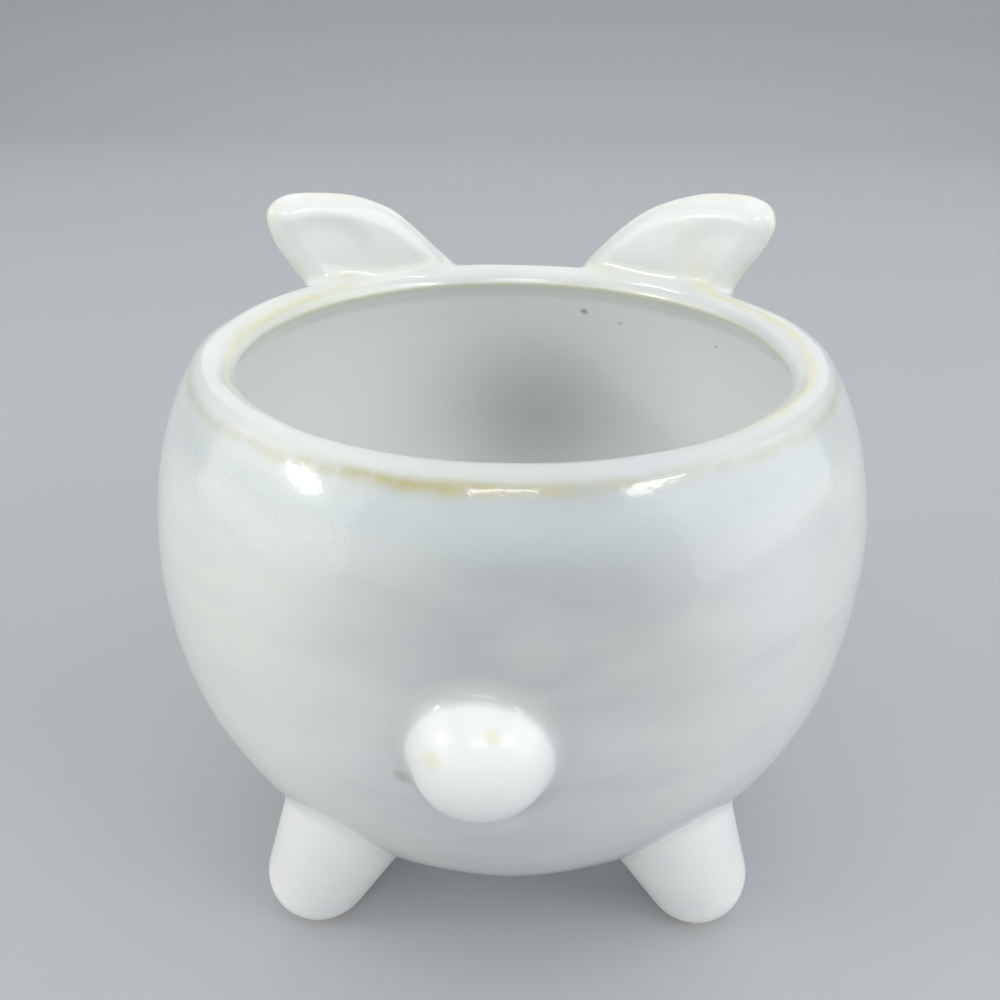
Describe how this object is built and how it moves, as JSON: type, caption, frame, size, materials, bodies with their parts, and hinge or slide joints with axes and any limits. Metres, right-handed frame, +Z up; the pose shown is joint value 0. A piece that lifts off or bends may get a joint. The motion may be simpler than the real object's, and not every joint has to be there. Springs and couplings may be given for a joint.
{
  "type": "animal shaped planter",
  "caption": "Round footed planter in the shape of an animal: a thick glazed ceramic bowl with a wide mouth, stub legs, ball tail, ears on the rim and a small face.",
  "frame": {"origin": "on the ground, on the axis of the bowl", "axes": "+Z up; the tail points to -Y and the face looks along +Y; +X is to the right as seen from behind the animal"},
  "size_m": [0.114, 0.1284, 0.1109],
  "materials": {
    "white_glaze": "glossy white reactive glaze that breaks to tan on the edges",
    "leg_glaze": "smooth satin white glaze, bare clay under the feet",
    "brown_glaze": "glossy dark brown glaze"
  },
  "bodies": {
    "root": {"pot_body": "white_glaze", "left_ear": "white_glaze", "right_ear": "white_glaze", "tail": "white_glaze", "left_rear_leg": "leg_glaze", "right_rear_leg": "leg_glaze", "left_front_leg": "leg_glaze", "right_front_leg": "leg_glaze", "muzzle": "white_glaze", "nose": "brown_glaze", "left_eye": "brown_glaze", "right_eye": "brown_glaze"}
  },
  "joints": []
}
